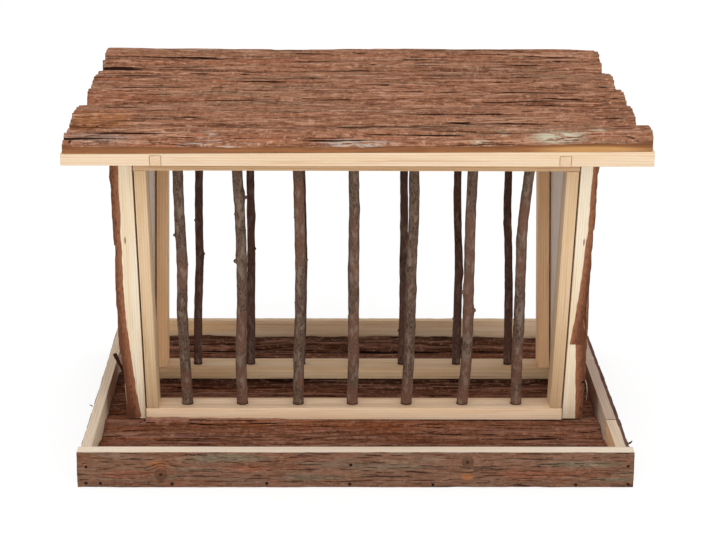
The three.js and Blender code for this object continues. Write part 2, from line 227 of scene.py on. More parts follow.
def with_grain(grain, long, short):
    """Size of a blotch that is long with the grain and short across it, given in millimetres."""
    return [(long if abs(share) > 0.5 else short) * MM for share in grain]


def fleck(finish, place, spot, colour):
    """Lays one stain, or one patch of painted shade or highlight, on a colour: spot is its tint, middle,
    reach and strength, in millimetres.
    """
    tint, centre, reach, strength = spot
    return finish.under(colour, paint(*tint), finish.distance(place, centre, reach), 0.35, 1.0, strength)


# Width of a ring in a knot of the bark, as a share of the knot's radius
KNOT_RING = 0.16


def bark_finish(name, grain, tones, shift=0.0, length=1.0, width=1.0, calm=0.0,
                stains_and_shade=(), crusts=(), knots=()):
    """Stringy bark: strands with the grain, long dark splits, small flakes, painted highlight on the
    ridges of the relief and painted shade in its creases. tones are deep, dark, middle, light,
    grey and warm. calm from 0 to 1 takes the contrast out of it."""
    finish = new_finish(name)
    place = finish.place()
    bent = place
    for centre, radius in knots:
        bent = finish.round_knot(bent, centre, radius * 2.6)

    def grained(vector, long, short, detail, roughness, moved):
        size = with_grain(grain, long, short)
        return finish.noise(vector, size, detail, roughness, shift + moved)

    swayed = finish.sway(bent, with_grain(grain, 90 * length, 16), 3.5 * MM)
    frayed = finish.sway(swayed, with_grain(grain, 9 * length, 2), 0.8 * MM)
    strands = grained(frayed, 46 * length, 2.2 * width, 4, 0.6, 0)
    fibres = grained(frayed, 13, 1.4 * width, 5, 0.7, 5)
    bands = grained(swayed, 110 * length, 5 * width, 3, 0.55, 9)
    patches = grained(bent, 100 * length, 13 * width, 3, 0.5, 2)
    chip, rim = finish.chips(frayed, with_grain(grain, 18 * length, 1.8 * width), shift + 4)
    splits = grained(frayed, 64 * length, 1.5 * width, 2, 0.5, 13)
    flakes = grained(swayed, 5, 3.4 * width, 4, 0.75, 17)
    crease = finish.stored("crease")

    deep, dark, middle, light, grey, warm = paints(tones)
    lively = 1 - calm
    colour = finish.mix(finish.step(strands, 0.32, 0.5), finish.mix(0.5, dark, middle), middle)
    colour = finish.over(colour, warm, patches, 0.52, 0.64, 0.55)
    colour = finish.over(colour, grey, bands, 0.56, 0.64, 0.6)
    for spot in stains_and_shade:
        colour = fleck(finish, place, spot, colour)
    colour = finish.over(colour, light, chip, 0.78, 0.97, 0.4 * lively)
    colour = finish.under(colour, dark, chip, 0.06, 0.26, 0.6 * lively)
    colour = finish.over(colour, light, fibres, 0.56, 0.66, 0.7 - 0.3 * calm)
    colour = finish.under(colour, dark, fibres, 0.36, 0.45, 0.75 - 0.35 * calm)
    colour = finish.over(colour, light, flakes, 0.54, 0.66, 0.6 * lively)
    colour = finish.under(colour, dark, flakes, 0.36, 0.46, 0.7 * lively)
    # Painted highlight on the ridges that the stored crease relief finds
    colour = finish.over(colour, light, crease, 0.25, 0.8, 0.5)
    crust = grained(swayed, 13, 1.7 * width, 5, 0.75, 21)
    for tint, centre, reach, cover in crusts:
        near = finish.distance(place, centre, reach)
        mask = (1 - finish.step(near, 0.3, 1.0)) * finish.step(crust, 0.6 - cover, 0.66 - cover)
        colour = finish.mix(mask, colour, paint(*tint))
    gap = (1 - finish.step(rim, 0.0, 0.07)) * finish.step(patches + strands, 0.98, 1.08)
    split = finish.step(splits, 0.61, 0.66)
    colour = finish.mix(gap * (0.7 * lively), colour, dark)
    # Painted shade in the creases that the stored crease relief finds, broken up by the fibres
    hollow_shade = crease + (fibres - 0.5) * 0.6
    colour = finish.under(colour, deep, hollow_shade, -0.95, -0.45, 0.95)
    colour = finish.mix(split * (0.95 - 0.35 * calm), colour, deep)
    height = strands * 0.6 + fibres * 0.5 + flakes * 0.5 + chip * 0.35 * lively - split * 0.8 - gap * 0.3
    for centre, radius in knots:
        near = finish.distance(place, centre, [radius] * 3)
        wavy = near + finish.noise(place, [3 * MM] * 3, 2, 0.6, shift) * 0.5
        rings = finish.maths("PINGPONG", wavy, KNOT_RING) / KNOT_RING
        inside = 1 - finish.step(near, 0.8, 1.05)
        colour = finish.mix(inside * (0.25 + 0.5 * rings), colour, dark)
        colour = finish.under(colour, deep, near, 0.12, 0.4, 0.85)
        height = height + inside * rings * 0.6
    return finish.surface(colour, 0.92 - strands * 0.2, height, 1.2 * MM, **DULL)


# Year rings of sawn pine: how wide they are, and how far outside the piece their pith lies
RING_WIDTH = 2.1 * MM
PITH_ASIDE = (0.061, 0.047)


def sawn_colour(finish, place, grain, tones, shift):
    """Colour and relief of sawn pine: year rings about a pith outside the piece, and streaks.
    tones are pale, middle, dark and brown."""
    swayed = finish.sway(place, with_grain(grain, 160, 30), 2.4 * MM)
    rounds = [part for part, share in zip(finish.parts(swayed), grain) if abs(share) < 0.5]
    first, second = (part + (aside + shift) for part, aside in zip(rounds, PITH_ASIDE))
    radius = finish.maths("SQRT", first * first + second * second)
    ring = finish.maths("FRACT", radius / RING_WIDTH)
    late = finish.step(ring, 0.5, 0.92) * (1 - finish.step(ring, 0.93, 1.0))
    fine = finish.noise(swayed, with_grain(grain, 60, 0.7), 3, 0.6, shift * 40 + 3)
    broad = finish.noise(place, with_grain(grain, 150, 9), 3, 0.5, shift * 40)
    streak = finish.noise(swayed, with_grain(grain, 110, 1.6), 2, 0.5, shift * 40 + 11)
    pale, middle, dark, brown = paints(tones)
    colour = finish.mix(finish.step(broad, 0.38, 0.62), pale, middle)
    colour = finish.mix(late * 0.34, colour, dark)
    colour = finish.over(colour, dark, fine, 0.5, 0.68, 0.28)
    colour = finish.over(colour, brown, streak, 0.64, 0.71, 0.45)
    return colour, fine * 0.6 + late * 0.4


def pine_finish(name, grain, tones, lean=0.0, shift=0.0, stains_and_shade=()):
    """Sawn pine whose grain follows a piece, with darker end grain."""
    finish = new_finish(name)
    place = finish.place()
    turned = finish.node("Mapping", {}, {"Vector": place, "Rotation": (lean, 0, 0)})
    colour, height = sawn_colour(finish, turned, grain, tones, shift)
    for spot in stains_and_shade:
        colour = fleck(finish, place, spot, colour)
    facing = finish.node("NewGeometry", {}, {}, "True Normal")
    end = abs(finish.vector_maths("DOT_PRODUCT", facing, tuple(grain), output="Value"))
    _, _, dark, _ = paints(tones)
    colour = finish.over(colour, dark, end, 0.8, 0.95, 0.35)
    return finish.surface(colour, 0.62 + height * 0.2, height, 0.3 * MM)


def cut_finish(name, grain, tones, bark_tones, wood_depths, shift=0.0, lean=0.0, stains_and_shade=()):
    """Saw cut through a slab. bark_tones are the bark's inner, outer and deep tones. wood_depths
    gives how many millimetres of wood lie on the sawn back, at places across the slab from 0 to
    1; beyond them the cut shows the bark's inside."""
    finish = new_finish(name)
    place = finish.place()
    turned = finish.node("Mapping", {}, {"Vector": place, "Rotation": (lean, 0, 0)})
    wood, height = sawn_colour(finish, turned, grain, tones, shift)
    most = max(depth for _, depth in wood_depths)
    ramp = finish.node("ValToRGB", {}, {0: finish.stored("across") * 0.5 + 0.5})
    set_stops(ramp.socket.node.color_ramp, [(where, depth / most) for where, depth in wood_depths])
    reach = ramp * (most * MM)
    wander = finish.noise(place, with_grain(grain, 22, 6), 3, 0.5, shift * 30) - 0.5
    beyond = finish.stored("depth") - reach - wander * (2.2 * MM)
    lines = finish.noise(place, with_grain(grain, 30, 1.3), 3, 0.6, shift * 30 + 4)
    inner, outer, deep = paints(bark_tones)
    bark = finish.mix(finish.step(lines + beyond * 90, 0.5, 1.15), inner, outer)
    bark = finish.over(bark, deep, lines, 0.56, 0.7, 0.5)
    colour = finish.mix(finish.step(beyond, -0.2 * MM, 0.3 * MM), wood, bark)
    for spot in stains_and_shade:
        colour = fleck(finish, place, spot, colour)
    return finish.surface(colour, 0.7 + lines * 0.2, height + lines * 0.4, 0.4 * MM, **DULL)


def rind_finish(name, tones, shift=0.0):
    """Thin rind of a cut stick: fine upright wrinkles, pale pores, and dark where it is socketed.
    tones are dark, middle, light and warm."""
    finish = new_finish(name)
    place = finish.place()
    swayed = finish.sway(place, (8 * MM, 8 * MM, 20 * MM), 1.5 * MM)
    wrinkles = finish.noise(swayed, (0.9 * MM, 0.9 * MM, 7 * MM), 4, 0.65, shift)
    blotches = finish.noise(place, (5 * MM, 5 * MM, 16 * MM), 3, 0.55, shift + 4)
    tall = finish.noise(place, (30 * MM, 30 * MM, 60 * MM), 2, 0.5, shift + 8)
    pores = finish.noise(swayed, (1.0 * MM, 1.0 * MM, 0.8 * MM), 2, 0.5, shift + 12)
    dark, middle, light, warm = paints(tones)
    colour = finish.mix(finish.step(wrinkles, 0.38, 0.56), dark, middle)
    colour = finish.over(colour, warm, tall, 0.46, 0.6, 0.6)
    colour = finish.over(colour, light, blotches, 0.5, 0.66, 0.6)
    colour = finish.over(colour, light, pores, 0.6, 0.68, 0.5)
    above = finish.parts(place)[2] - rail_top
    colour = finish.under(colour, paint(38, 26, 20), above, 0.0, 2.2 * MM, 0.7)
    height = wrinkles * 0.8 + pores * 0.3 + blotches * 0.3
    return finish.surface(colour, 0.85 - wrinkles * 0.15, height, 0.6 * MM, **DULL)


def steel_finish():
    """Head of a wire nail, brown with rust."""
    finish = new_finish("dull_steel")
    worn = finish.noise(finish.place(), [0.8 * MM] * 3, 3, 0.6)
    colour = finish.mix(finish.step(worn, 0.4, 0.65), paint(26, 15, 11), paint(56, 38, 31))
    return finish.surface(colour, 0.7 + worn * 0.2, worn, 0.1 * MM, **DULL)


# Tones of bark: deep, dark, middle, light, grey and warm
ROOF_TONES = (30, 15, 9), (102, 61, 42), (158, 109, 82), (208, 161, 133), (142, 117, 94), (168, 102, 71)
FLOOR_TONES = (20, 9, 5), (84, 48, 33), (134, 88, 66), (172, 128, 106), (138, 104, 94), (150, 84, 50)
RIM_TONES = (52, 30, 22), (96, 65, 49), (126, 91, 72), (160, 126, 105), (122, 105, 88), (134, 86, 62)
PANEL_TONES = (44, 24, 15), (98, 58, 38), (136, 88, 62), (172, 126, 98), (128, 104, 88), (154, 92, 56)

# Tones of bark seen in a saw cut: inner, outer and deep
BARK_INSIDE = (154, 102, 73), (106, 66, 48), (82, 49, 35)
ROOF_INSIDE = (144, 96, 62), (116, 74, 48), (94, 58, 37)
RIM_INSIDE = (112, 82, 72), (82, 56, 48), (62, 40, 34)

# Tones of sawn pine: pale, middle, dark and brown
WHITE_PINE = (224, 198, 167), (220, 191, 158), (201, 166, 129), (188, 145, 107)
TOP_PINE = (247, 232, 213), (244, 226, 203), (226, 202, 174), (206, 176, 144)
RAIL_PINE = (242, 214, 182), (238, 204, 166), (216, 174, 132), (194, 146, 104)
GOLD_PINE = (222, 193, 156), (214, 180, 138), (192, 150, 105), (168, 121, 79)
# Painted light: a paler copy of the pine that lifts the back stiles out of the roof's shade; the right tray
# board's inner face takes it too
LIT_BACK_PINE = (249, 210, 165), (244, 198, 149), (219, 165, 117), (194, 138, 93)
EDGE_PINE = (230, 211, 189), (222, 200, 174), (200, 174, 146), (176, 146, 116)
# Painted shade: a darker copy of the pine for the top rails, which stand in shade under the roof's battens
SHADED_HEAD_PINE = (212, 174, 132), (202, 160, 114), (180, 132, 90), (156, 106, 70)
GREY_PINE = (218, 199, 182), (206, 184, 164), (184, 158, 136), (158, 124, 100)
PANEL_PINE = (242, 228, 203), (238, 215, 181), (214, 190, 156), (190, 160, 126)
# Painted light: a paler copy of the panel pine for the side slabs' inner faces, lifted to make up for the
# roof's shade on them
LIT_INSIDE_PINE = (251, 241, 231), (247, 232, 216), (226, 205, 186), (202, 174, 150)
# Painted shade: a greyer, darker copy of the edge pine for the top of the right tray board's rear part, in
# the roof's shadow
SHADED_PINE = (206, 184, 166), (194, 169, 149), (172, 144, 122), (148, 116, 92)
ROOF_PINE = (182, 130, 88), (166, 116, 77), (140, 94, 61), (114, 74, 48)

LICHEN = (194, 186, 162)
ASH = (182, 165, 151)

# Knots in the front board's bark: middle and radius, in millimetres
FRONT_KNOTS = [((-161, -180, 12), 6.0), ((92, -180, 23), 5.5)]

roof_bark = bark_finish(
    "roof_bark", ALONG, ROOF_TONES, length=1.9, width=1.5,
    stains_and_shade=[
        ((134, 118, 92), (-176, -69, 301), (62, 11, 20), 0.6),
        ((176, 112, 64), (-208, -128, 301), (36, 34, 20), 0.6),
        ((150, 84, 46), (-216, -154, 301), (24, 10, 20), 0.7),
        ((150, 138, 128), (-204, -178, 298), (40, 8, 20), 0.55),
        ((206, 176, 148), (0, -12, 301), (20, 4, 20), 0.6),
        ((214, 158, 108), (176, -5, 301), (5, 9, 20), 0.8),
        ((190, 112, 62), (201, -58, 301), (5, 16, 20), 0.7),
        ((60, 34, 22), (155, 158, 301), (6, 8, 20), 0.6),
        ((60, 34, 22), (166, 138, 301), (5, 8, 20), 0.6),
        ((34, 20, 14), (-209, -140, 301), (2, 4, 20), 0.9),
        ((34, 20, 14), (-226, -182, 299), (2, 3, 20), 0.9),
        ((34, 20, 14), (-82, -158, 301), (2, 3, 20), 0.9),
    ],
    crusts=[
        (ASH, (-120, -172, 300), (16, 8, 20), 0.08), (ASH, (-112, -184, 297), (40, 6, 20), 0.1),
        (ASH, (-2, -184, 297), (42, 6, 20), 0.12), (LICHEN, (158, -178, 298), (30, 12, 20), 0.16),
        (LICHEN, (192, -166, 300), (12, 9, 20), 0.14), (LICHEN, (95, -182, 298), (10, 6, 20), 0.12),
        (LICHEN, (114, -172, 300), (10, 5, 20), 0.08), ((34, 24, 20), (214, -180, 298), (14, 9, 20), 0.08),
    ])
floor_bark = bark_finish(
    "floor_bark", ALONG, FLOOR_TONES, 31.0, 1.8, 1.5,
    stains_and_shade=[
        # Painted shade: the dark bands 50, 72 and 158 mm back stand for the shade under the roof and the
        # back board. The pale band 19 mm back is a painted highlight on a ridge. The two in front are the
        # bark's own colour.
        ((58, 34, 24), (0, 72, 12), (330, 104, 60), 0.35), ((22, 12, 8), (0, 158, 14), (400, 28, 60), 0.85),
        ((28, 16, 11), (0, 50, 12), (400, 26, 60), 0.8), ((160, 128, 116), (20, 19, 12), (190, 6, 30), 0.4),
        ((156, 92, 54), (-30, -68, 20), (190, 12, 30), 0.6),
        ((130, 96, 86), (0, -142, 12), (300, 30, 40), 0.45),
    ],
    crusts=[((206, 178, 150), (-122, -92, 12), (18, 8, 9), 0.04)])
rim_bark_front = bark_finish(
    "rim_bark_front", ALONG, RIM_TONES, 47.0, 0.5, calm=0.5,
    stains_and_shade=[
        ((118, 112, 92), (-106, -180, 26), (52, 20, 5), 0.75),
        ((116, 110, 90), (189, -180, 21), (48, 20, 4), 0.75),
        ((112, 108, 90), (214, -180, 7), (26, 20, 3), 0.7),
        ((112, 104, 86), (20, -180, 19), (60, 20, 5), 0.5),
        ((110, 104, 88), (-40, -180, 9), (40, 20, 4), 0.6),
        ((168, 104, 68), (-162, -180, 21), (14, 20, 5), 0.7),
        ((172, 106, 60), (92, -180, 10), (7, 20, 4), 0.7),
        ((140, 78, 56), (-190, -180, 12), (28, 20, 6), 0.5),
        ((146, 82, 58), (150, -180, 12), (50, 20, 5), 0.5),
        ((146, 84, 60), (-85, -180, 17), (24, 20, 4), 0.5),
    ],
    knots=FRONT_KNOTS)
rim_bark_back = bark_finish("rim_bark_back", ALONG, RIM_TONES, 49.0, 0.5, calm=0.5)
rim_bark_sides = bark_finish("rim_bark_sides", BACKWARD, RIM_TONES, 53.0, 0.5, calm=0.5)
panel_bark = bark_finish("panel_bark", UP, PANEL_TONES, 61.0, 0.8)

roof_pine = pine_finish("roof_pine", ALONG, GREY_PINE, shift=0.031)
batten_pine = pine_finish("batten_pine", ALONG, WHITE_PINE)
rail_pine = pine_finish("rail_pine", ALONG, RAIL_PINE, shift=0.007)
# The top rails' pine is darkened as painted shade
shaded_head_pine = pine_finish("shaded_head_pine", ALONG, SHADED_HEAD_PINE, shift=0.019)
back_board_pine = pine_finish(
    "back_board_pine", ALONG, RAIL_PINE, shift=0.037,
    stains_and_shade=[((240, 190, 126), (-165, 170, 24), (80, 8, 9), 0.6)])
back_rail_pine = pine_finish("back_rail_pine", ALONG, GOLD_PINE, shift=0.029)
left_board_pine = pine_finish("left_board_pine", BACKWARD, PANEL_PINE, shift=0.033)
right_board_pine = pine_finish("right_board_pine", BACKWARD, LIT_BACK_PINE, shift=0.041)
cross_pine = pine_finish("cross_pine", BACKWARD, WHITE_PINE, shift=0.005)
cleat_pine = pine_finish("cleat_pine", BACKWARD, GREY_PINE, shift=0.025)
front_stile_pine = pine_finish("front_stile_pine", UP, GOLD_PINE, -rack_lean, 0.009)
# The back stiles take the paler pine as painted light
back_stile_pine = pine_finish("back_stile_pine", UP, LIT_BACK_PINE, rack_lean, 0.011)
# The slabs' inner faces take the paler pine as painted light
panel_inside_pine = pine_finish("panel_inside_pine", UP, LIT_INSIDE_PINE, shift=0.017)
floor_pine = pine_finish("floor_pine", ALONG, GREY_PINE, shift=0.027)

roof_cut = cut_finish(
    "roof_cut", ALONG, ROOF_PINE, ROOF_INSIDE,
    [(0, 0), (0.12, 4.5), (0.3, 8), (0.5, 9.5), (0.7, 8), (0.88, 4.5), (1, 0)],
    stains_and_shade=[((196, 146, 92), (185, -186.5, 289.5), (60, 6, 4), 0.8)])
rim_front_cut = cut_finish("rim_front_cut", ALONG, TOP_PINE, RIM_INSIDE, [(0, 12.6), (1, 12.6)], 0.013)
rim_back_cut = cut_finish("rim_back_cut", ALONG, WHITE_PINE, RIM_INSIDE, [(0, 8.2), (1, 8.2)], 0.015)
rim_left_cut = cut_finish("rim_left_cut", BACKWARD, EDGE_PINE, RIM_INSIDE, [(0, 8.4), (1, 8.4)], 0.021)
joint_line = ((60, 38, 27), (222, -101.5, 20), (20, 1.1, 60), 0.9)
# The rear part of the right tray board takes the darker pine on its top as painted shade from the roof
rim_right_cuts = {
    part: cut_finish(
        f"rim_right_{part}_cut", BACKWARD, tones, RIM_INSIDE, [(0, 8.6), (1, 8.6)], shift,
        stains_and_shade=[joint_line])
    for part, tones, shift in (("front", EDGE_PINE, 0.035), ("rear", SHADED_PINE, 0.023))}

# Wood on the sawn back of each side slab, in millimetres, listed from the slab's front edge to its
# back edge; the two front ones follow what the photograph shows along the front cut
EVEN_WOOD = [(0, 5), (0.3, 10.5), (0.6, 12), (1, 5)]
PANEL_WOOD = {
    "left": [
        [(0, 7), (0.12, 10.6), (0.62, 12.6), (0.78, 10.2), (0.9, 7.2), (1, 3.6)],
        [(0, 4.6), (0.3, 10.5), (0.6, 12), (1, 5)], EVEN_WOOD, EVEN_WOOD],
    "right": [
        [(0, 9), (0.12, 9.6), (0.52, 9.3), (0.63, 8.2), (0.75, 6.6), (0.89, 4.2), (1, 1.6)],
        [(0, 6.7), (0.25, 11.3), (0.6, 12.5), (1, 6)], EVEN_WOOD, EVEN_WOOD],
}


def panel_cut(side, i):
    """Cut of one side slab. A right slab is made back to front, so its depths run the other way."""
    depths = PANEL_WOOD[side][i]
    if side == "right":
        depths = [(1 - where, depth) for where, depth in reversed(depths)]
    slots = [((120, 84, 60), (-192.4, -107, 192), (1.2, 8, 5), 0.8),
             ((96, 76, 58), (190.5, -107, 191), (1.0, 8, 5), 0.8),
             ((40, 24, 18), (202, -63.6, 42), (1.2, 8, 7), 0.8)]
    lean = -rack_lean if i < 2 else rack_lean
    return cut_finish(
        f"panel_cut_{side}_{i + 1}", UP, PANEL_PINE, BARK_INSIDE, depths, 0.017 + i * 0.01, lean, slots)


front_rind = rind_finish("front_rind", [(66, 48, 38), (108, 87, 74), (142, 124, 110), (118, 82, 66)])
back_rind = rind_finish("back_rind", [(60, 42, 36), (92, 70, 62), (122, 102, 92), (96, 66, 56)], 6.0)
torn_bark = rind_finish("torn_bark", [(30, 16, 12), (54, 30, 22), (82, 50, 38), (66, 34, 24)], 9.0)
steel = steel_finish()


def added(name, data):
    """New object in the scene."""
    made = bpy.data.objects.new(name, data)
    bpy.context.scene.collection.objects.link(made)
    return made


def deselect():
    bpy.ops.object.select_all(action="DESELECT")


def pick(piece):
    """Makes piece the only selected object and the active one."""
    deselect()
    piece.select_set(True)
    bpy.context.view_layer.objects.active = piece


def start_edit():
    """Opens the active piece's mesh with all of it selected."""
    bpy.ops.object.mode_set(mode="EDIT")
    bpy.ops.mesh.select_all(action="SELECT")


def end_edit():
    bpy.ops.object.mode_set(mode="OBJECT")


def apply(piece, kind, **settings):
    """Puts a modifier on a piece that is the active one, and applies it."""
    modifier = piece.modifiers.new(kind, kind)
    set_all(modifier, settings)
    bpy.ops.object.modifier_apply(modifier=modifier.name)


def points_of(piece):
    flat = np.empty(len(piece.data.vertices) * 3)
    piece.data.vertices.foreach_get("co", flat)
    return flat.reshape(-1, 3)


def move_points(piece, points):
    piece.data.vertices.foreach_set("co", points.ravel())
    piece.data.update()


def store(piece, name, values):
    """Keeps a value at each point of a piece for its finish to read."""
    kept = piece.data.attributes.get(name) or piece.data.attributes.new(name, "FLOAT", "POINT")
    kept.data.foreach_set("value", values.astype(np.float32))


def texture(name, kind, ramp=(), **settings):
    made = bpy.data.textures.new(name, kind)
    made.noise_scale = 1.0
    set_all(made, settings)
    if ramp:
        made.use_color_ramp = True
        set_stops(made.color_ramp, ramp)
    return made


STEPS = [(0.36, 0), (0.38, 0.35), (0.48, 0.4), (0.5, 0.7), (0.6, 0.75), (0.62, 1)]
swells = texture("swells", "CLOUDS", noise_depth=1)
plates = texture("plates", "CLOUDS", STEPS, noise_depth=2)
strands = texture("strands", "CLOUDS", noise_depth=2)
crevices = texture("crevices", "CLOUDS", [(0.0, 0), (0.16, 1)], noise_type="HARD_NOISE", noise_depth=0)

# Layers of bark relief: texture, length, width and depth of its marks in millimetres, and the
# level that stays put, so that the rest is pressed in or stands out
ROUGH = [(swells, 120, 17, 1.6, 0.6), (plates, 150, 10, 1.6, 0.7), (crevices, 170, 9, 2.0, 1.0),
         (strands, 46, 2.3, 1.3, 0.55)]
SHAGGY = [(swells, 90, 14, 1.4, 0.5), (plates, 90, 9, 1.5, 0.6), (crevices, 120, 9, 1.6, 1.0),
          (strands, 30, 2.4, 1.2, 0.5)]
CLOSE = [(swells, 70, 9, 0.6, 0.6), (plates, 34, 5, 0.5, 0.8), (crevices, 40, 5, 0.7, 1.0),
         (strands, 13, 1.9, 0.6, 0.6)]

stretcher = added("stretcher", None)


def press(piece, pattern, size, place, depth, still, direction="Z"):
    """Presses a texture into a piece: size of its marks and depth in millimetres."""
    stretcher.scale = [length * MM for length in size]
    stretcher.location = place
    bpy.context.view_layer.update()
    apply(piece, "DISPLACE", texture=pattern, texture_coords="OBJECT", texture_coords_object=stretcher,
          direction=direction, strength=depth * MM, mid_level=still)


def waves(places, period, seed):
    """Gentle irregular waves between -1 and 1 along places."""
    turns = 2 * math.pi * places / period
    return (np.sin(turns + seed * 1.9) + 0.6 * np.sin(turns * 2.7 + seed * 3.1)
            + 0.4 * np.sin(turns * 6.1 + seed * 4.7)) / 2


def carve(points, start, end, width, depth, seed):
    """Cuts a wavering crevice into a slab, from start to end, deepest halfway."""
    share = (points[:, 0] - start[0]) / (end[0] - start[0])
    line = start[1] + (end[1] - start[1]) * share + 1.2 * MM * waves(points[:, 0], 45 * MM, seed)
    taper = np.sqrt(np.clip(4 * share * (1 - share), 0, 1))
    points[:, 2] -= depth * taper * np.exp(-((points[:, 1] - line) / width) ** 2)


def turned_to(low, high, grain, outward):
    """Matrix that lays a slab made along X, bark up, into a box, and the slab's three sizes."""
    axes = [grain, outward.cross(grain), outward]
    corner = Vector()
    for axis in axes:
        corner += axis * min(axis.dot(low), axis.dot(high))
    turn = Matrix(axes).transposed().to_4x4()
    return Matrix.Translation(corner) @ turn, [abs((high - low).dot(axis)) for axis in axes]


LIFTED = 100 * MM


def drop_on(sheet, node, lay):
    """Drops a lifted sheet of points on the bark of a packed slab. Points beside the slab stay
    lifted."""
    ground = added("ground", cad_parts[node].data.copy())
    ground.data.transform(lay.inverted())
    ground.hide_render = True
    pick(sheet)
    apply(sheet, "SHRINKWRAP", target=ground, wrap_method="PROJECT", use_project_z=True,
          use_positive_direction=False, use_negative_direction=True)
    bpy.data.objects.remove(ground)


def spread_out(heights):
    """Fills the points that missed the slab, one line across the grain after another."""
    for k in range(heights.shape[1]):
        line = heights[:, k]
        landed = np.flatnonzero(line < LIFTED / 2)
        if len(landed):
            line[:] = np.interp(np.arange(len(line)), landed, line[landed])
    columns = np.flatnonzero(heights.max(0) < LIFTED / 2)
    for k in np.flatnonzero(heights.max(0) >= LIFTED / 2):
        heights[:, k] = heights[:, columns[np.abs(columns - k).argmin()]]


def eased(heights, reach, axis):
    """Moving mean of a grid of heights along one axis."""
    margin = [(0, 0), (0, 0)]
    margin[axis] = (reach, reach)
    padded = np.pad(heights, margin, "edge")
    count = heights.shape[axis]
    return sum(np.take(padded, range(k, k + count), axis) for k in range(2 * reach + 1)) / (2 * reach + 1)


# Bark slabs: the share of a sheet that is kept off its rims while it is dropped, the periods of the
# fray at their two ends, where calm rims begin, how thin they may get as a share of the imported slab,
# the depth at which a crease's painted shade is at its darkest and which also scales the painted
# highlight on a ridge, the height under which a point is on the sawn back, and the bend up to which
# bark is shaded smooth
DROP_INSET = 0.002
FRAY_PERIODS = (26 * MM, 22 * MM)
CALM_FROM = 0.8
THINNEST = 0.2
CREASE_DEPTH = 1.1 * MM
SAWN_BACK = 1e-7
BARK_BEND = math.radians(50)


def bark_slab(name, node, grain, outward, relief, seed, finishes, body, box=None, work=None,
              spacing=(2.8 * MM, 0.8 * MM), ends=(0, 0), slants=(0, 0, 0, 0), proud=0.3 * MM,
              calm=0.0, share=1):
    """Slab sawn off a log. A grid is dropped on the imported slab's bark, pressed into relief and
    closed down to the sawn back. It is made along X with its bark up, then laid in its place."""
    low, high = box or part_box(node)
    lay, (length, width, thickness) = turned_to(low, high, grain, outward)
    columns = round(length / spacing[0])
    rows = round(width / spacing[1])
    deselect()
    bpy.ops.mesh.primitive_grid_add(x_subdivisions=columns, y_subdivisions=rows, size=1)
    slab = bpy.context.object
    slab.name = name
    points = points_of(slab)
    s, t = points[:, 0] + 0.5, points[:, 1] * 2
    points[:, 0] = np.clip(s, DROP_INSET, 1 - DROP_INSET) * length
    points[:, 1] = (t * (1 - DROP_INSET) + 1) / 2 * width
    points[:, 2] = LIFTED
    move_points(slab, points)
    drop_on(slab, node, lay)
    points = points_of(slab)
    heights = points[:, 2].reshape(rows + 1, columns + 1)
    spread_out(heights)
    ground = eased(eased(heights, 3, 1), 1, 0).ravel()
    rounding, fray = ends
    near, far = (
        rounding * t ** 2 + fray * (0.5 + 0.5 * waves(t * width, period, seed + k * 3))
        + np.interp(t, (-1, 1), slants[2 * k:2 * k + 2]) for k, period in enumerate(FRAY_PERIODS))
    points[:, 0] = near + s * (length - near - far)
    points[:, 1] = (t + 1) / 2 * width
    points[:, 2] = ground
    move_points(slab, points)
    for k, (pattern, long, wide, depth, still) in enumerate(relief):
        own_place = (seed * 0.731 + k * 0.37, seed * 0.417 + k * 0.11, 0)
        press(slab, pattern, (long, wide, wide), own_place, depth, still)
    points = points_of(slab)
    quiet = 1 - calm * np.clip((np.abs(t) - CALM_FROM) / (1 - CALM_FROM), 0, 1)
    points[:, 2] = ground + (points[:, 2] - ground) * quiet
    if work:
        work(points)
    points[:, 2] = np.clip(points[:, 2], thickness * THINNEST, thickness + proud) * share
    move_points(slab, points)
    heights = points[:, 2].reshape(rows + 1, columns + 1)
    # Height against the neighbouring points across the grain, which the bark's finish paints as shade in
    # creases and as highlight on ridges
    store(slab, "crease", np.clip((heights - eased(heights, 4, 0)) / CREASE_DEPTH, -1, 1).ravel())

    start_edit()
    bpy.ops.mesh.select_mode(type="EDGE")
    bpy.ops.mesh.select_all(action="DESELECT")
    bpy.ops.mesh.select_non_manifold()
    bpy.ops.mesh.extrude_region_move()
    bpy.ops.transform.resize(value=(1, 1, 0), center_override=(0, 0, 0))
    bpy.ops.mesh.edge_face_add()
    bpy.ops.mesh.select_all(action="SELECT")
    bpy.ops.mesh.normals_make_consistent(inside=False)
    end_edit()

    points = points_of(slab)
    store(slab, "across", points[:, 1] / width * 2 - 1)
    store(slab, "depth", points[:, 2])
    for finish in finishes:
        slab.data.materials.append(finish)
    grounded = points[:, 2] < SAWN_BACK
    for face in slab.data.polygons:
        count = sum(grounded[k] for k in face.vertices)
        face.material_index = 2 if count == len(face.vertices) else min(count, 1)
    slab.data.transform(lay)
    pick(slab)
    bpy.ops.object.shade_smooth_by_angle(angle=BARK_BEND)
    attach(slab, body)
    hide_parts(node)
    return slab


# Long crevices in the roof, as the photograph shows them: two ends in millimetres on the roof
ROOF_CREVICES = [
    ((-92, 130), (-22, 119)), ((-75, 31), (-48, 30)), ((14, 95), (30, 95)), ((-86, -42), (-32, -49)),
    ((-84, -85), (82, -95)), ((-82, -156), (10, -162)), ((92, 92), (146, 75)), ((-150, 104), (-60, 101)),
    ((40, 20), (190, 26)), ((-180, -20), (-90, -27)), ((60, -125), (190, -119)), ((-200, 60), (-120, 56)),
]
CREVICE_WIDTH = 1.5 * MM
CREVICE_DEPTH = 2.4 * MM

# How far each roof plank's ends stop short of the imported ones, in millimetres: left end at its front
# and back edge, then right end
ROOF_SLANTS = [
    (0, 4.5, 0, -1), (-1, 0.5, 1.5, -2.5), (0.5, -3.5, 0, 1), (-1, 2, 0, 0.5), (0.5, -3, 1, -1),
    (0, 0.5, 0.5, 1.5),
]


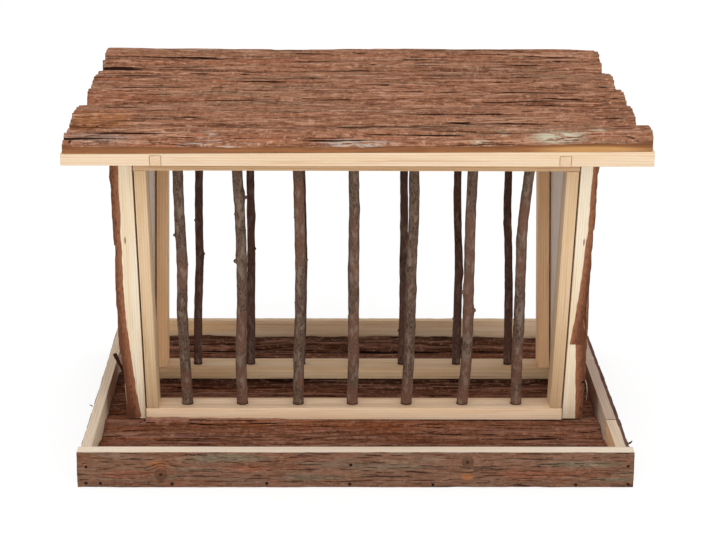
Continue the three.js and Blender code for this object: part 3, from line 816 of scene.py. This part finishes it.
def front_sag(across):
    """How far the roof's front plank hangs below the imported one, in metres."""
    return np.interp(across / MM, (-233, -60, 60, 233), (3.0, 1.5, 1.2, 0)) * MM


# How far back the thinning of the roof's front edge reaches
THINNED = 16 * MM


def front_thinning(across):
    """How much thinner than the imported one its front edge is, in metres."""
    return np.interp(across / MM, (-233, -60, 60, 150, 233), (2.2, 3.6, 3.6, 2.2, 1.2)) * MM


def roof_plank(i):
    node = f"roof_plank_{i + 1}"
    low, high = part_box(node)

    def crevices_here(points):
        for k, (start, end) in enumerate(ROOF_CREVICES):
            middle = (start[1] + end[1]) / 2 * MM
            if low.y < middle < high.y:
                ends = [((x * MM - low.x), (y * MM - low.y)) for x, y in (start, end)]
                carve(points, *ends, CREVICE_WIDTH, CREVICE_DEPTH, k)
        if i == 0:
            edge = np.clip(1 - points[:, 1] / THINNED, 0, 1)
            points[:, 2] -= front_thinning(points[:, 0] + low.x) * edge

    plank = bark_slab(
        f"roof_bark_{i + 1}", node, ALONG, UP, ROUGH, 11 + i, (roof_bark, roof_cut, roof_pine), "roof",
        work=crevices_here, spacing=(2.8 * MM, 0.65 * MM), ends=(1.5 * MM, 1.2 * MM),
        slants=[short * MM for short in ROOF_SLANTS[i]], calm=0.6)
    if i == 0:
        points = points_of(plank)
        points[:, 2] -= front_sag(points[:, 0])
        move_points(plank, points)


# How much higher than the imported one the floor's last slat stands
BACK_SLAT_RISE = 5 * MM


def floor_slat(i):
    node = f"floor_slat_{i + 1}"
    low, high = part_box(node)

    def lip(points):
        """Raises the bark in front of the rack's foot, where the photograph shows it."""
        places = [-183, -150, -100, -40, 0, 63, 100, 183]
        rises = [3.6, 3.8, 3.4, 2.6, 2.0, 2.2, 0.9, 0.2]
        across = points[:, 0] + low.x
        rise = np.interp(across / MM, places, rises) * MM + 0.5 * MM * waves(across, 30 * MM, 5)
        behind = (foot_front[0].y - 0.5 * MM) - (points[:, 1] + low.y)
        slope = np.where(behind > 0, np.clip(1 - behind / (9 * MM), 0, 1), 0)
        points[:, 2] += np.where(np.abs(across) < frame_line, rise * slope, 0)

    def thicker(points):
        """Raises the last slat, which stands higher than the others against the back board."""
        rise = BACK_SLAT_RISE + 0.8 * MM * waves(points[:, 0], 90 * MM, 8)
        points[:, 2] += rise * np.clip(points[:, 1] / (9 * MM), 0, 1)

    work, proud = {1: (lip, 4 * MM), 5: (thicker, BACK_SLAT_RISE)}.get(i, (None, 0))
    bark_slab(
        f"floor_bark_{i + 1}", node, ALONG, UP, ROUGH, 31 + i, (floor_bark, floor_bark, floor_pine),
        "stand", work=work, proud=proud, spacing=(2.8 * MM, 0.9 * MM))


def sawn_off(piece, place, facing):
    """Saws a piece through at place and drops what lies on the side that facing points to."""
    pick(piece)
    start_edit()
    bpy.ops.mesh.select_mode(type="VERT")
    bpy.ops.mesh.select_all(action="SELECT")
    bpy.ops.mesh.bisect(plane_co=place, plane_no=facing, use_fill=True, clear_outer=True)
    piece.active_material_index = 1
    bpy.ops.mesh.select_mode(type="FACE")
    bpy.ops.object.material_slot_assign()
    end_edit()


# How much wider than the saw leaves them the outer slabs start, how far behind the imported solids'
# joint the photograph has the joint of the two front slabs, and how thick three of the slabs are as
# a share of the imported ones
SAW_MARGIN = 10 * MM
JOINT_SHIFT = {"left": 5.7 * MM, "right": 2.1 * MM}
SLAB_SHARES = {("left", 0): 1.12, ("right", 0): 0.85, ("right", 1): 1.08}

# Bulges and dents of the right front slab: height, rise and reach, in millimetres
RIGHT_BULGES = [(147, 1.2, 6), (121, -1.8, 7), (102, 1.2, 8)]


def panel_slab(side, i):
    """Upright slab of a side panel."""
    node = f"side_slab_{side}_{i + 1}"
    low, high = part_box(node)
    if i == 0:
        low.y -= SAW_MARGIN
        low.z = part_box(f"side_slab_{side}_2")[0].z
        high.y += JOINT_SHIFT[side]
    if i == 1:
        low.y += JOINT_SHIFT[side]
    if i == 3:
        high.y += SAW_MARGIN
    outward = -ALONG if side == "left" else ALONG

    def bulge(points):
        for height, rise, reach in RIGHT_BULGES:
            away = (points[:, 0] + low.z - height * MM) / (reach * MM)
            points[:, 2] += rise * MM * np.exp(-away ** 2)

    slab = bark_slab(
        f"panel_bark_{side}_{i + 1}", node, UP, outward, SHAGGY, 51 + i + (10 if side == "left" else 0),
        (panel_bark, panel_cut(side, i), panel_inside_pine), "stand", box=(low, high), proud=1 * MM,
        work=bulge if (side, i) == ("right", 0) else None, spacing=(2.6 * MM, 0.9 * MM),
        share=SLAB_SHARES.get((side, i), 1))
    cos, sin = math.cos(rack_lean), math.sin(rack_lean)
    sawn_off(slab, (0, foot_front[0].y, rail_top), (0, -cos, -sin))
    sawn_off(slab, (0, foot_back[1].y, rail_top), (0, cos, -sin))
    bpy.ops.object.shade_smooth_by_angle(angle=BARK_BEND)


def rim_board(name, node, grain, outward, finishes, seed, work=None):
    bark_slab(name, node, grain, outward, CLOSE, seed, finishes, "stand", work=work,
              spacing=(2.2 * MM, 0.75 * MM), proud=0.2 * MM)


def front_knots(points):
    """Raises the two knots, each with a sunken ring, on the front board."""
    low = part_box("tray_front_board")[0]
    for (x, _, z), radius in FRONT_KNOTS:
        away = np.hypot(points[:, 0] - (x * MM - low.x), points[:, 1] - z * MM) / (radius * MM)
        points[:, 2] += 1.0 * MM * np.exp(-away ** 2) - 1.0 * MM * np.exp(-((away - 1.1) / 0.25) ** 2)


# Six planks in the roof and six slats in the floor
for i in range(6):
    roof_plank(i)
    floor_slat(i)
for side in ("left", "right"):
    for i in range(len(PANEL_WOOD[side])):
        panel_slab(side, i)
rim_board("front_board", "tray_front_board", ALONG, -BACKWARD,
          (rim_bark_front, rim_front_cut, batten_pine), 71, front_knots)
rim_board("back_board", "tray_back_board", -ALONG, BACKWARD,
          (rim_bark_back, rim_back_cut, back_board_pine), 72)
rim_board("left_board", "tray_left_board", -BACKWARD, -ALONG,
          (rim_bark_sides, rim_left_cut, left_board_pine), 73)
# The rear part's inner face takes the greyer cleat pine as painted shade from the roof
for i, (part, inside) in enumerate((("front", right_board_pine), ("rear", cleat_pine))):
    rim_board(f"right_board_{part}", f"tray_right_board_{part}", BACKWARD, ALONG,
              (rim_bark_sides, rim_right_cuts[part], inside), 74 + i)


def copy_of(name, node, body, finish):
    """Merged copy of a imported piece, ready to be worked on."""
    piece = added(name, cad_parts[node].data.copy())
    piece.data.materials.clear()
    piece.data.materials.append(finish)
    pick(piece)
    start_edit()
    bpy.ops.mesh.remove_doubles(threshold=0.01 * MM)
    end_edit()
    if piece.data.has_custom_normals:
        bpy.ops.mesh.customdata_custom_splitnormals_clear()
    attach(piece, body)
    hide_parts(node)
    return piece


def sawn_strip(name, node, body, finish):
    """Sawn strip with its corners just broken."""
    strip = copy_of(name, node, body, finish)
    start_edit()
    bpy.ops.mesh.dissolve_limited(angle_limit=math.radians(1))
    end_edit()
    apply(strip, "BEVEL", width=0.4 * MM, segments=2, limit_method="ANGLE", angle_limit=math.radians(40))
    bpy.ops.object.shade_smooth_by_angle(angle=math.radians(35))
    return strip


# The stiles stand a little clear of the side panels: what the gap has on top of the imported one
STILE_GAP = 0.7 * MM


def stile(name, node, finish):
    strip = sawn_strip(name, node, "stand", finish)
    points = points_of(strip)
    outer = np.abs(points[:, 0]) > np.abs(points[:, 0]).max() - 1 * MM
    points[outer, 0] -= np.sign(points[outer, 0]) * STILE_GAP
    move_points(strip, points)


for side, foot_pine, stile_pine in (("front", rail_pine, front_stile_pine),
                                    ("back", back_rail_pine, back_stile_pine)):
    sawn_strip(f"{side}_foot_strip", f"{side}_bottom_rail", "stand", foot_pine)
    sawn_strip(f"{side}_head_strip", f"{side}_top_rail", "stand", shaded_head_pine)
    stile(f"{side}_upright_left", f"{side}_left_stile", stile_pine)
    stile(f"{side}_upright_right", f"{side}_right_stile", stile_pine)
    batten = sawn_strip(f"{side}_roof_batten", f"roof_batten_{side}", "roof", batten_pine)
    if side == "front":
        points = points_of(batten)
        upper = points[:, 2] > points[:, 2].max() - 1 * MM
        points[upper, 2] -= front_sag(points[upper, 0])
        move_points(batten, points)
for side in ("left", "right"):
    sawn_strip(f"{side}_cross_strip", f"roof_cross_strip_{side}", "roof", cross_pine)
    sawn_strip(f"{side}_cleat", f"cleat_{side}_top", "stand", cleat_pine)


# Broken twigs on the sticks: stick, height on it, side (1 is towards +X, 0 to the front), length
# and thickness, in millimetres
FRONT_STUBS = [
    (1, 191, -1, 2.6, 3.2), (1, 164, 1, 1.2, 4.5), (2, 226, 1, 3.4, 3.0), (2, 196, 1, 1.0, 3.4),
    (2, 166, -1, 3.0, 3.6), (2, 211, -1, 1.6, 3.0), (2, 68, -1, 1.2, 3.6), (3, 234, 1, 1.4, 3.0),
    (3, 208, -1, 1.4, 3.4), (3, 167, 1, 2.8, 3.6), (3, 126, -1, 1.2, 4.0), (3, 112, 1, 1.4, 3.6),
    (3, 68, 1, 1.4, 3.6), (4, 112, -1, 1.4, 4.0), (4, 110, 1, 1.6, 3.6), (4, 66, 1, 1.2, 3.6),
    (5, 73, 0, 1.0, 4.4), (6, 136, -1, 2.8, 3.4), (6, 118, 1, 2.6, 3.4), (7, 110, -1, 1.6, 3.6),
    (7, 44, 0, 1.0, 4.4), (4, 48, 0, 0.9, 4.0),
]
BACK_STUBS = [
    (1, 152, -1, 1.6, 3.0), (1, 122, 1, 1.6, 3.0), (2, 127, 1, 1.8, 3.0), (5, 53, -1, 2.0, 3.0),
    (5, 34, 1, 2.4, 3.0), (6, 64, -1, 1.8, 3.4), (7, 36, 1, 2.2, 2.8),
]

# Radius of a stub at its root and at its tip, as shares of its thickness
STUB_ROOT = 0.72
STUB_TIP = 0.4


def add_stub(stick, height, side, length, thickness):
    """Joins the stub of a broken twig to a stick, pointing up and out."""
    points = points_of(stick)
    near = points[np.abs(points[:, 2] - height * MM) < 12 * MM]
    low, high = near.min(0), near.max(0)
    middle = Vector((low + high) / 2)
    middle.z = height * MM
    reach = (high[0] - low[0]) / 2 * 0.75
    outward = Vector((side, -0.35 if side else -1, 0.55)).normalized()
    deselect()
    bpy.ops.mesh.primitive_cone_add(
        vertices=8, radius1=thickness * STUB_ROOT * MM, radius2=thickness * STUB_TIP * MM,
        depth=length * MM + reach, location=middle + outward * (reach + length * MM) / 2,
        rotation=outward.to_track_quat("Z", "Y").to_euler())
    stub = bpy.context.object
    bpy.ops.object.transform_apply(location=True, rotation=True, scale=True)
    start_edit()
    bpy.ops.mesh.inset(thickness=0.3 * MM, use_individual=True)
    end_edit()
    stub.data.materials.append(stick.data.materials[0])
    stub.select_set(True)
    stick.select_set(True)
    bpy.context.view_layer.objects.active = stick
    bpy.ops.object.join()


def crooked_stick(name, node, finish, stubs):
    """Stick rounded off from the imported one, with its stubs, and wrinkled."""
    stick = copy_of(name, node, "stand", finish)
    start_edit()
    bpy.ops.mesh.tris_convert_to_quads(face_threshold=math.pi, shape_threshold=math.pi)
    bpy.ops.mesh.subdivide(number_cuts=1)
    end_edit()
    for stub in stubs:
        add_stub(stick, *stub)
    apply(stick, "SUBSURF", levels=2, render_levels=2)
    press(stick, strands, (4, 4, 16), (0, 0, 0), 1.0, 0.35, "NORMAL")
    bpy.ops.object.shade_smooth()


for i in range(1, 8):
    for side, rind, stubs in (("front", front_rind, FRONT_STUBS), ("back", back_rind, BACK_STUBS)):
        crooked_stick(f"{side}_twig_{i}", f"{side}_stick_{i}", rind,
                      [stub[1:] for stub in stubs if stub[0] == i])

bpy.data.objects.remove(stretcher)


# How much thinner than its root a splinter's tip is, as a share
TIP_LOSS = 0.75


def splinter(name, path, width, finish, body):
    """Torn sliver of bark or wood that follows path, in millimetres, and thins out to its tip."""
    deselect()
    first, second = Vector(path[0]), Vector(path[1])
    bpy.ops.mesh.primitive_circle_add(
        vertices=6, radius=width / 2 * MM, location=first * MM, fill_type="NGON",
        rotation=(second - first).to_track_quat("Z", "Y").to_euler())
    sliver = bpy.context.object
    sliver.name = name
    bpy.ops.object.transform_apply(location=True, rotation=True, scale=True)
    start_edit()
    for k in range(1, len(path)):
        step = (Vector(path[k]) - Vector(path[k - 1])) * MM
        bpy.ops.mesh.extrude_region_move(TRANSFORM_OT_translate={"value": step})
        share = 1 - TIP_LOSS * k / (len(path) - 1)
        before = 1 - TIP_LOSS * (k - 1) / (len(path) - 1)
        bpy.ops.transform.resize(value=(share / before,) * 3, center_override=Vector(path[k]) * MM)
    bpy.ops.mesh.select_all(action="SELECT")
    bpy.ops.mesh.normals_make_consistent(inside=False)
    end_edit()
    apply(sliver, "SUBSURF", levels=1, render_levels=1)
    sliver.data.materials.append(finish)
    bpy.ops.object.shade_smooth()
    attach(sliver, body)


splinter(
    "panel_splinter",
    [(-208.2, -68, 79.5), (-207, -68, 76), (-204.5, -67, 70), (-201.8, -66, 63), (-200.5, -65, 56)],
    5.2, torn_bark, "stand")
splinter(
    "panel_shaving_left",
    [(-196.5, -65, 72), (-199, -66, 66), (-200, -66, 52), (-199.6, -65, 40), (-198.6, -64, 30)],
    1.1, shaded_head_pine, "stand")
splinter(
    "panel_shaving_right",
    [(201, -68, 56), (202.6, -69, 51), (203.2, -69, 45), (203, -68, 38), (202.4, -67, 34)],
    0.6, cleat_pine, "stand")
splinter(
    "rim_splinter_left", [(-229.6, -60, 27), (-230.6, -64, 30), (-231.5, -69, 32)],
    1.6, rim_bark_sides, "stand")
splinter(
    "rim_splinter_right", [(228.6, -150, 28), (229.6, -158, 32), (230, -163, 36)],
    2.8, rim_bark_sides, "stand")
splinter(
    "roof_splinter", [(196, -42, 300.5), (206, -40, 301.5), (219, -36, 301.9), (230, -31, 301.5)],
    2.6, roof_bark, "roof")

# Nail heads: x and z in millimetres on the front board
FRONT_NAILS = [
    (-222.4, 18.5), (-222.9, 4.1), (-211, 3.9), (-152, 3.2), (-73.8, 3.9), (-5.1, 3.2), (-4.3, 20.2),
    (63.8, 2.6), (182, 2.6), (225.7, 3), (225, 19.1),
]


def nail_head():
    """Round head of a wire nail with a bevelled rim, at the middle, facing up."""
    deselect()
    bpy.ops.mesh.primitive_cylinder_add(vertices=14, radius=1.3 * MM, depth=0.9 * MM)
    head = bpy.context.object
    start_edit()
    bpy.ops.mesh.bevel(offset=0.25 * MM, segments=2)
    end_edit()
    head.data.materials.append(steel)
    bpy.ops.object.shade_smooth_by_angle(angle=math.radians(40))
    return head


def drive_nail(head, name, place, facing):
    """Copy of a nail head, driven in at place."""
    nail = added(name, head.data.copy())
    turn = Vector(facing).to_track_quat("Z", "Y").to_matrix().to_4x4()
    nail.data.transform(Matrix.Translation(Vector(place)) @ turn)
    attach(nail, "stand")


head = nail_head()
board_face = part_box("tray_front_board")[0].y
for i, (x, z) in enumerate(FRONT_NAILS):
    drive_nail(head, f"front_nail_{i + 1}", (x * MM, board_face + 1.0 * MM, z * MM), (0, -1, 0.1))
drive_nail(head, "panel_nail", (199.4 * MM, -66.9 * MM, 52.7 * MM), (0, -1, -0.3))
bpy.data.objects.remove(head)

# Camera, as fitted to the photograph's straight edges
CAMERA_PLACE = Vector((-23.12, -1776.18, 669.91)) * MM
CAMERA_PITCH = 0.2928
CAMERA_YAW = -0.0149
CAMERA_ROLL = 0.0059
FOCAL_PIXELS = 2081.71
FRAME_PIXELS = 716
SENSOR = 36

camera = bpy.data.cameras.new("camera")
camera.sensor_width = SENSOR
camera.lens = FOCAL_PIXELS / FRAME_PIXELS * SENSOR
viewer = added("camera", camera)
viewer.matrix_world = (Matrix.Translation(CAMERA_PLACE) @ Matrix.Rotation(CAMERA_YAW, 4, "Z")
                       @ Matrix.Rotation(math.pi / 2 - CAMERA_PITCH, 4, "X")
                       @ Matrix.Rotation(CAMERA_ROLL, 4, "Z"))
bpy.context.scene.camera = viewer

TABLE_MIDDLE = Vector((0, 0, 0.15))


def lamp(name, place, width, watts):
    """Soft square lamp that points at the middle of the bird table."""
    light = bpy.data.lights.new(name, "AREA")
    light.size = width
    light.energy = watts
    holder = added(name, light)
    holder.location = place
    holder.rotation_euler = (TABLE_MIDDLE - Vector(place)).to_track_quat("-Z", "Y").to_euler()


lamp("high", (0, -2.0, 1.8), 1.4, 12)
lamp("low", (0, -2.6, 0.5), 1.0, 4)
lamp("left", (-1.7, -2.0, 0.5), 1.4, 12)
lamp("right", (1.7, -2.0, 0.5), 1.4, 16)


# Strength of the white backdrop's light on the table, and of the floor's glow where it is seen
BACKDROP_LIGHT = 0.82
FLOOR_GLOW = 0.76


def seen_directly(finish):
    """1 where the surface is seen by the camera, in a mirror or through glass."""
    path = finish.node("LightPath", {}, {}, "Is Camera Ray").socket.node.outputs
    seen = [Wire(finish, path[name]) for name in ("Is Camera Ray", "Is Glossy Ray", "Is Transmission Ray")]
    return finish.node("Clamp", {}, {0: seen[0] + seen[1] + seen[2]})


def stage_finish():
    """Pale floor: it catches a soft shadow, and is as white as the backdrop where it is seen."""
    finish = new_finish("pale_floor")
    cloud = finish.noise(finish.place(), [0.4] * 3, 2, 0.5)
    pale = finish.mix(cloud, paint(218, 218, 218), paint(224, 224, 224))
    dim = finish.mix(cloud, paint(150, 150, 150), paint(156, 156, 156))
    plain = finish.node("BsdfDiffuse", {}, {"Color": pale})
    grey = finish.node("BsdfDiffuse", {}, {"Color": dim})
    glow = finish.node("Emission", {}, {"Strength": FLOOR_GLOW})
    bright = finish.node("AddShader", {}, {0: grey, 1: glow})
    finish.output("Material", finish.node("MixShader", {}, {0: seen_directly(finish), 1: plain, 2: bright}))
    return finish.owner


deselect()
bpy.ops.mesh.primitive_plane_add(size=12, location=(0, 0, -0.5 * MM))
floor = bpy.context.object
floor.name = "floor"
floor.data.materials.append(stage_finish())

world = bpy.data.worlds.new("studio")
bpy.context.scene.world = world
sky = Finish(world)
soft = sky.node("Background", {}, {"Color": (1, 1, 1, 1), "Strength": BACKDROP_LIGHT})
white = sky.node("Background", {}, {"Color": (1, 1, 1, 1), "Strength": 1.0})
sky.output("World", sky.node("MixShader", {}, {0: seen_directly(sky), 1: soft, 2: white}))

bpy.context.scene.view_settings.view_transform = "Standard"
